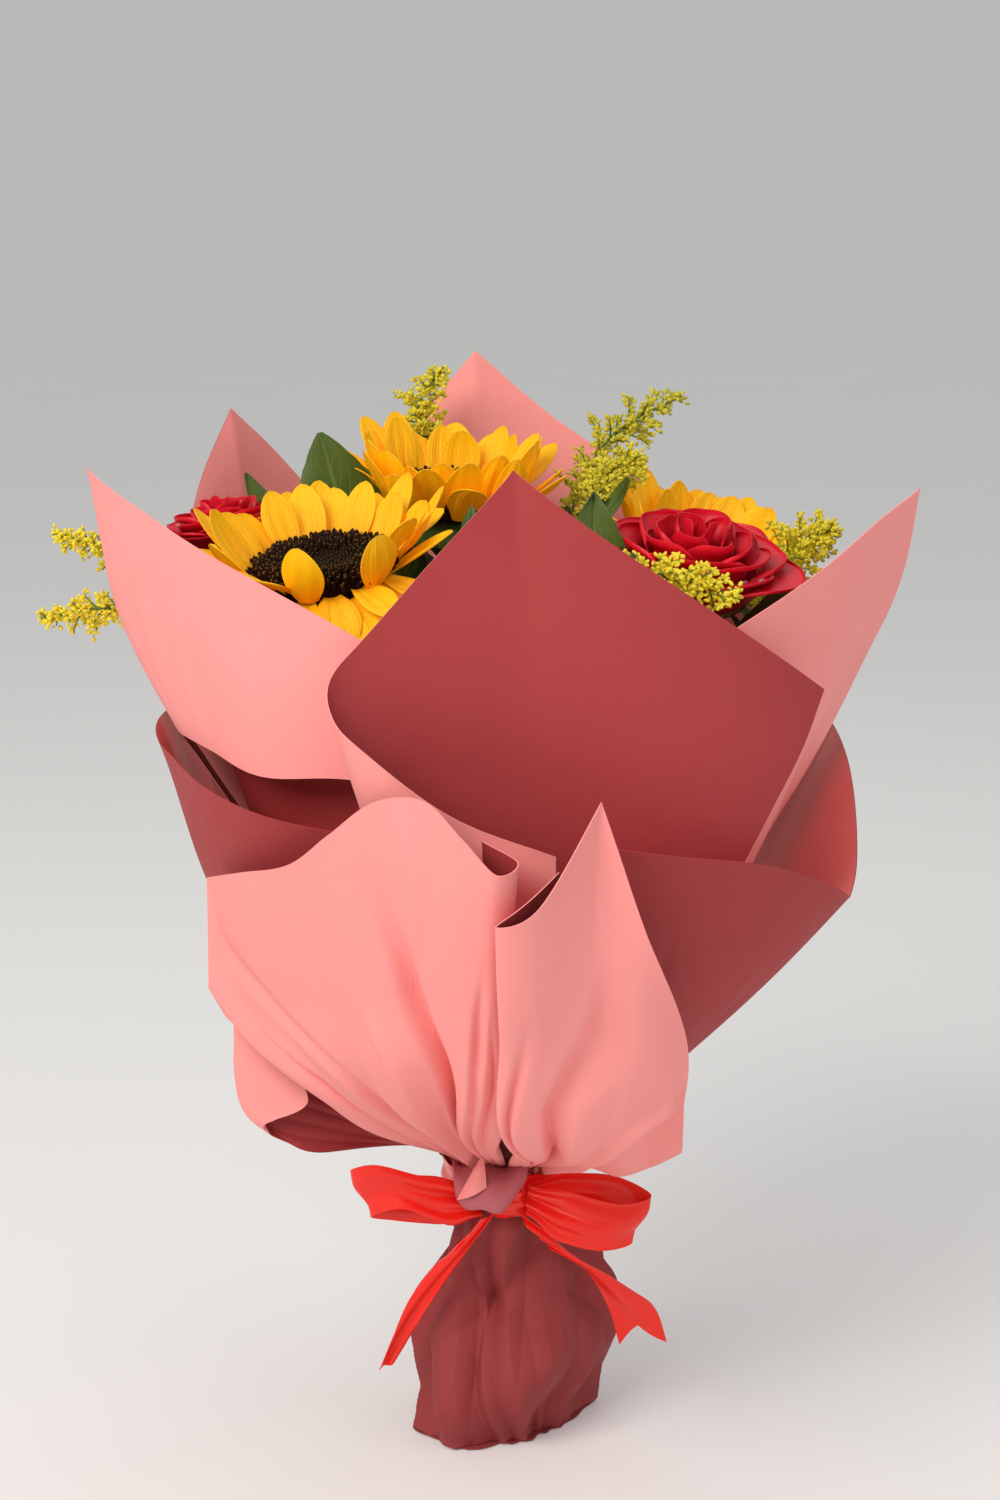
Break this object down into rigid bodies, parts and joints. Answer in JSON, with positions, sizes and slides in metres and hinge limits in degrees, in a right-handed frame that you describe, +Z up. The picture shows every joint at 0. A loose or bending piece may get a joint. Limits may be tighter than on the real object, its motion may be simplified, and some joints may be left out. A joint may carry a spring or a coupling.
{
  "type": "wrapped bunch of sunflowers and roses",
  "caption": "Wrapped bunch of sunflowers, roses and goldenrod in overlapping two-tone paper sheets, tied with a satin bow, standing on a gathered paper foot",
  "frame": {"origin": "the middle of the foot's flat underside, on the surface that the bunch stands on", "axes": "+Z up along the stems, -Y towards the front, where the rolled front sheet and the bow are, +X to the right as seen from the front"},
  "size_m": [0.4177, 0.378, 0.5137],
  "materials": {
    "paper_pink": "matte",
    "paper_dusky": "matte",
    "foot_paper": "matte",
    "red_satin": "satin",
    "twine": "matte",
    "stem": "matte",
    "leaf": "satin",
    "sunflower_petal": "satin",
    "sunflower_disc": "matte",
    "rose_petal": "satin",
    "goldenrod": "matte"
  },
  "bodies": {
    "root": {"back_sheet": "paper_pink", "back_left_sheet": "paper_pink", "left_sheet": "paper_pink", "inner_left_sheet": "paper_dusky", "front_sheet": "paper_dusky", "right_sheet": "paper_pink", "lower_right_sheet": "paper_dusky", "lower_left_sheet": "paper_dusky", "collar_left": "paper_pink", "collar_right": "paper_pink", "under_collar": "paper_dusky", "foot_wrap": "foot_paper", "ribbon_wrap": "red_satin", "ribbon_knot": "red_satin", "ribbon_loop_left": "red_satin", "ribbon_loop_right": "red_satin", "ribbon_tail_left": "red_satin", "ribbon_tail_right": "red_satin", "stem_tie": "twine", "sunflower_1_disc": "sunflower_disc", "sunflower_1_petals": "sunflower_petal", "sunflower_1_stem": "stem", "sunflower_2_disc": "sunflower_disc", "sunflower_2_petals": "sunflower_petal", "sunflower_2_stem": "stem", "sunflower_3_disc": "sunflower_disc", "sunflower_3_petals": "sunflower_petal", "sunflower_3_stem": "stem", "rose_1_bloom": "rose_petal", "rose_1_stem": "stem", "rose_2_bloom": "rose_petal", "rose_2_stem": "stem", "rose_3_bloom": "rose_petal", "rose_3_stem": "stem", "rose_4_bloom": "rose_petal", "rose_4_stem": "stem", "rose_5_bloom": "rose_petal", "rose_5_stem": "stem", "goldenrod_1": "goldenrod", "goldenrod_2": "goldenrod", "goldenrod_3": "goldenrod", "goldenrod_4": "goldenrod", "goldenrod_5": "goldenrod", "goldenrod_6": "goldenrod", "goldenrod_7": "goldenrod", "goldenrod_8": "goldenrod", "leaf_1": "leaf", "leaf_2": "leaf", "leaf_3": "leaf", "leaf_4": "leaf", "leaf_5": "leaf", "leaf_6": "leaf", "leaf_7": "leaf"}
  },
  "joints": []
}
